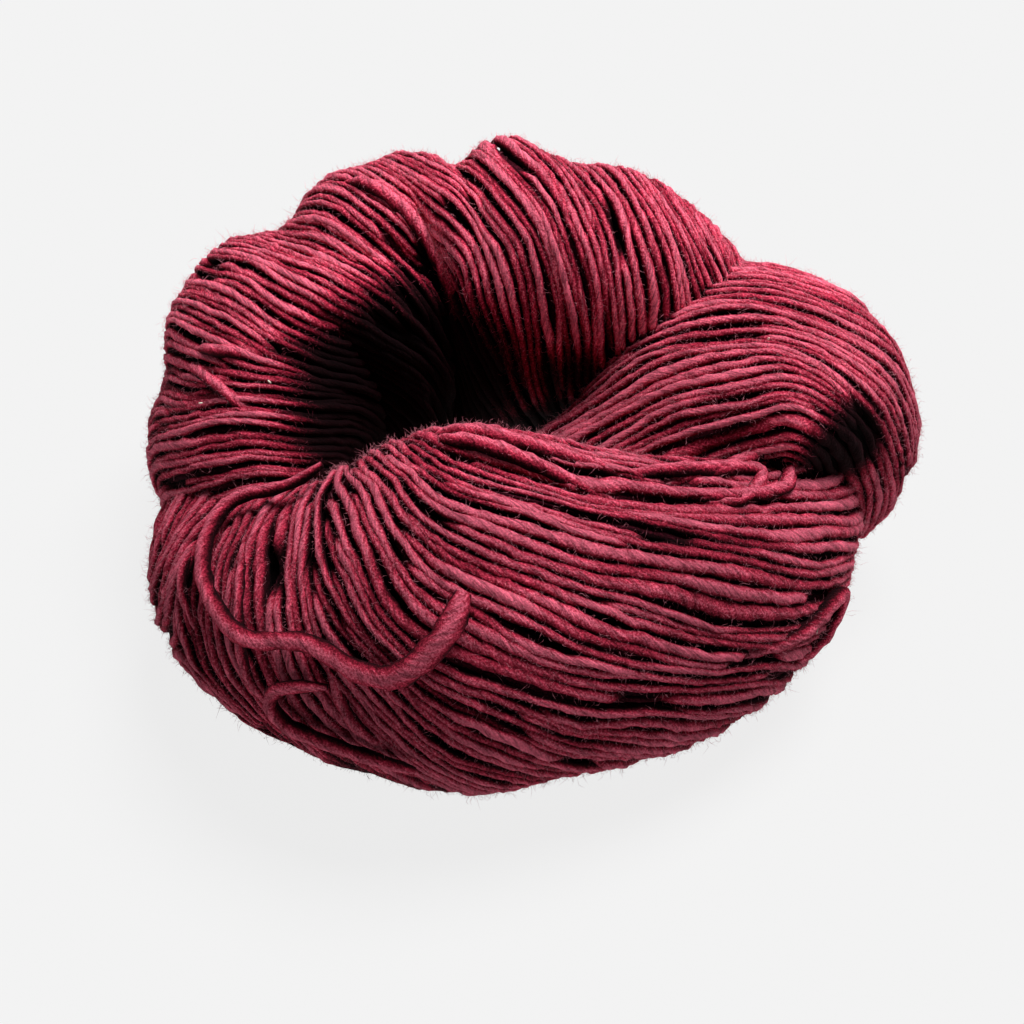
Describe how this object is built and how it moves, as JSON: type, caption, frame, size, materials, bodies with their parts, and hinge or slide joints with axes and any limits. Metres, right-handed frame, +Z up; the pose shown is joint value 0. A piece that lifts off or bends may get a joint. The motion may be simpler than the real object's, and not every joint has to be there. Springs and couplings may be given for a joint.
{
  "type": "hank of wool yarn",
  "caption": "Hank of chunky single-ply wool yarn, curled up on itself out of its twist, with a loose loop and a free end on its front.",
  "frame": {"origin": "on the surface the hank rests on, under the middle of its box", "axes": "+Z up; the hank is seen from -Y, with its front length along +X and its tucked end at +X"},
  "size_m": [0.1401, 0.1401, 0.0766],
  "materials": {
    "burgundy_wool": "soft single-ply wool, burgundy with uneven dye, fuzzy",
    "loose_strand_wool": "the same wool, one strand, spun thick and thin",
    "free_end_wool": "the same wool, one strand"
  },
  "bodies": {
    "root": {"hank": "burgundy_wool", "loose_strand": "loose_strand_wool", "free_end": "free_end_wool"}
  },
  "joints": []
}
